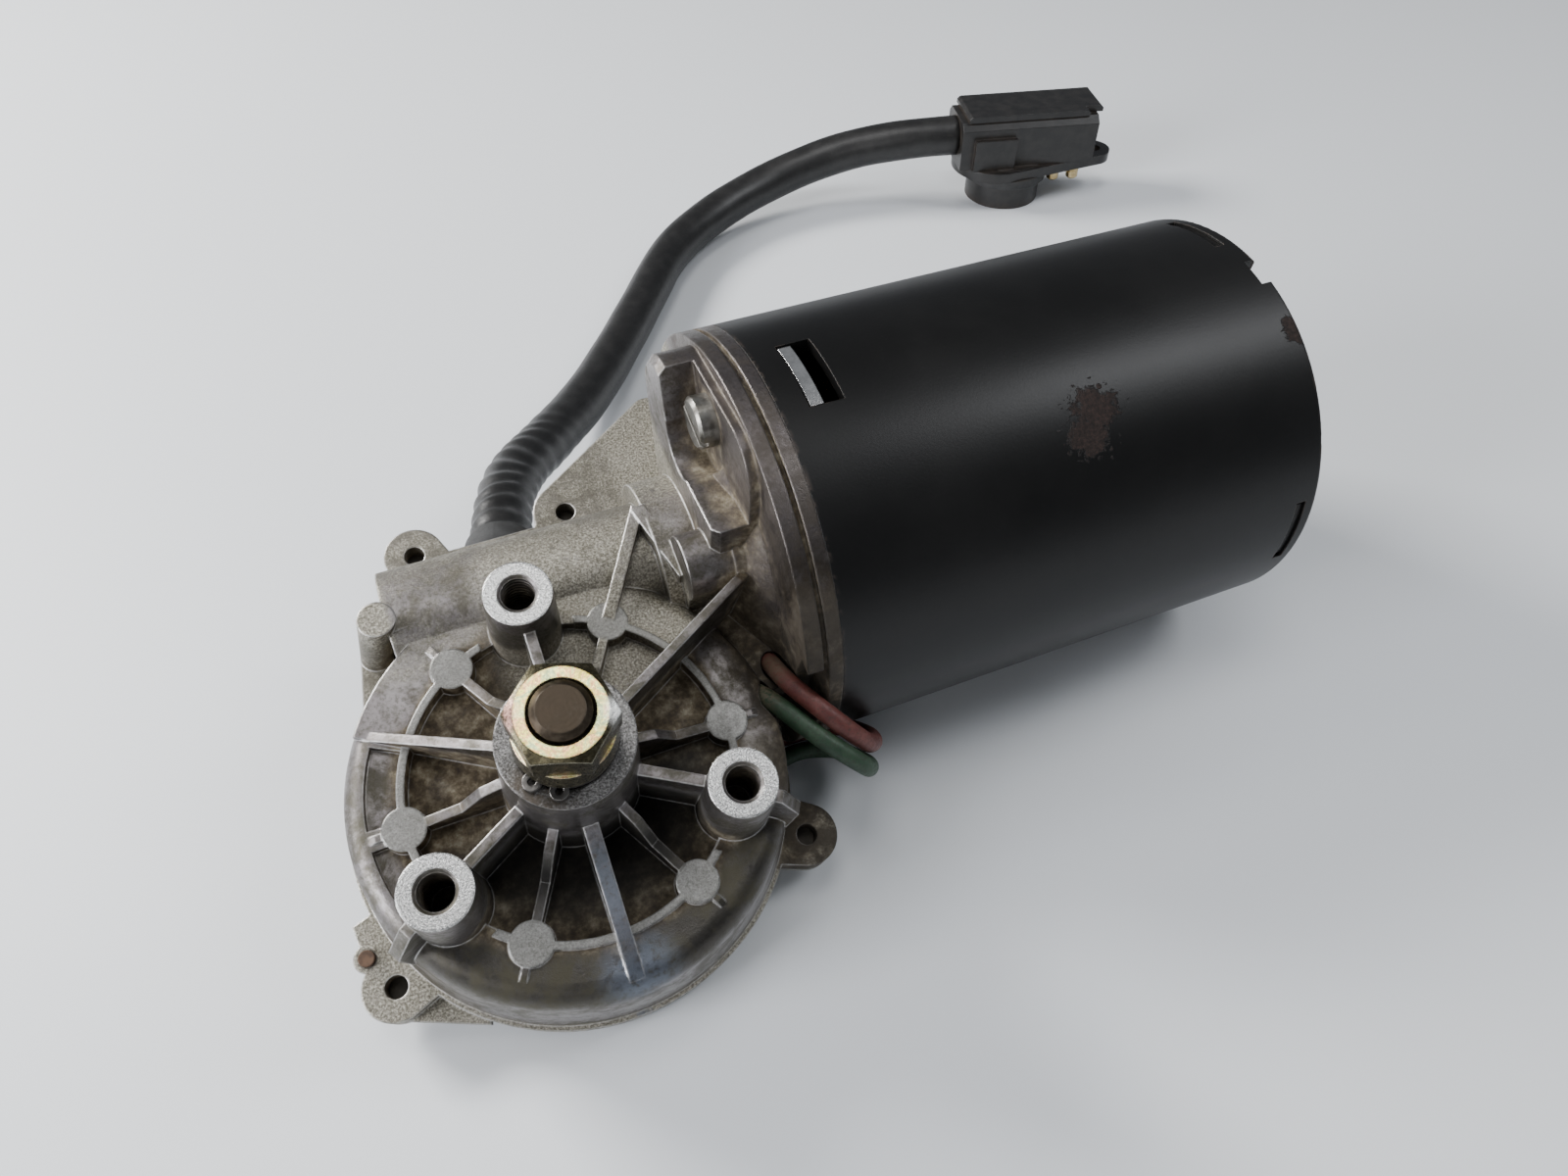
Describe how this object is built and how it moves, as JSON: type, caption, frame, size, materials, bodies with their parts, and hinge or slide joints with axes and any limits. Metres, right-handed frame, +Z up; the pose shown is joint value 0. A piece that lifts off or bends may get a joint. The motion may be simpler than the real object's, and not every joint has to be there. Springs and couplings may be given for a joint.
{
  "type": "windshield wiper motor",
  "caption": "Windshield wiper drive: a cylindrical motor on a finned worm gearbox with a threaded output shaft, motor leads and a cable ending in a flanged plug.",
  "frame": {"origin": "on the floor, below the centre of the box of the motor and gearbox without the cable", "axes": "+X along the motor axis from gearbox to can, +Z up from the floor the part lies on; the output shaft leans 20.8 degrees from +Z towards -Y"},
  "size_m": [0.2619, 0.2397, 0.0746],
  "materials": {
    "cast_alloy": "bare die casting, grimy in the recesses",
    "cover_steel": "dull plated sheet",
    "gasket": "matt",
    "screw_steel": "plated, dull",
    "rusty_steel": "rusted",
    "shaft_steel": "dark, oiled",
    "zinc_nut": "yellow zinc plate, worn",
    "spring_steel": "phosphated",
    "nylon": "moulded",
    "sinter_steel": "sintered",
    "contact_brass": "bright",
    "phenolic": "matt",
    "black_plastic": "matt",
    "black_rubber": "matt",
    "black_paint": "satin enamel with rust spots",
    "end_steel": "pressed sheet",
    "bronze": "sintered, oiled",
    "ground_steel": "ground",
    "lamination_steel": "stacked laminations",
    "copper_enamel": "enamelled copper",
    "ferrite": "matt ceramic",
    "bright_strip": "bright strip",
    "carbon": "carbon",
    "green_lead": "dirty insulation",
    "red_lead": "faded insulation",
    "cable_rubber": "matt, wrinkled at the gearbox",
    "connector_plastic": "dusty"
  },
  "bodies": {
    "housing": {"gear_housing": "cast_alloy", "rear_cover": "cover_steel", "cover_gasket": "gasket", "cover_screws": "screw_steel", "lug_screw": "rusty_steel", "flange_screws": "screw_steel", "contact_carrier": "phenolic", "contact_springs": "contact_brass", "contact_box": "black_plastic", "lead_grommet": "black_rubber", "motor_can": "black_paint", "end_plate": "end_steel", "bush_retainer": "spring_steel", "rear_bush": "bronze", "front_bush": "bronze", "magnets": "ferrite", "magnet_clips": "bright_strip", "brush_plate": "phenolic", "brush_holders": "contact_brass", "brushes": "carbon", "brush_springs": "bright_strip", "adjusting_screw": "screw_steel", "thrust_ball": "ground_steel", "output_bush": "bronze", "shaft_seal": "black_rubber", "green_wire": "green_lead", "red_wire": "red_lead", "cable_sheath": "cable_rubber", "cable_grommet": "black_rubber", "connector_body": "connector_plastic", "connector_flange": "connector_plastic", "connector_cover": "connector_plastic", "connector_seal": "black_rubber", "connector_pins": "contact_brass"},
    "output": {"worm_wheel": "nylon", "wheel_hub": "sinter_steel", "park_disc": "contact_brass", "output_shaft": "shaft_steel", "output_nut": "zinc_nut", "retaining_ring": "spring_steel", "thrust_washer": "nylon"},
    "armature": {"armature_shaft": "ground_steel", "rotor_core": "lamination_steel", "rotor_windings": "copper_enamel", "commutator": "copper_enamel"}
  },
  "joints": [
    {"name": "armature_spin", "type": "hinge", "parent": "housing", "child": "armature", "pos_m": [0, 0.01326, 0.0373], "axis": [1, 0, 0], "continuous": true},
    {"name": "output_spin", "type": "hinge", "parent": "housing", "child": "output", "pos_m": [-0.0484, -0.02653, 0.04786], "axis": [0, -0.3551, 0.9348], "continuous": true}
  ],
  "couplings": [
    {"joint": "output_spin", "follows": "armature_spin", "ratio": 0.019608}
  ]
}
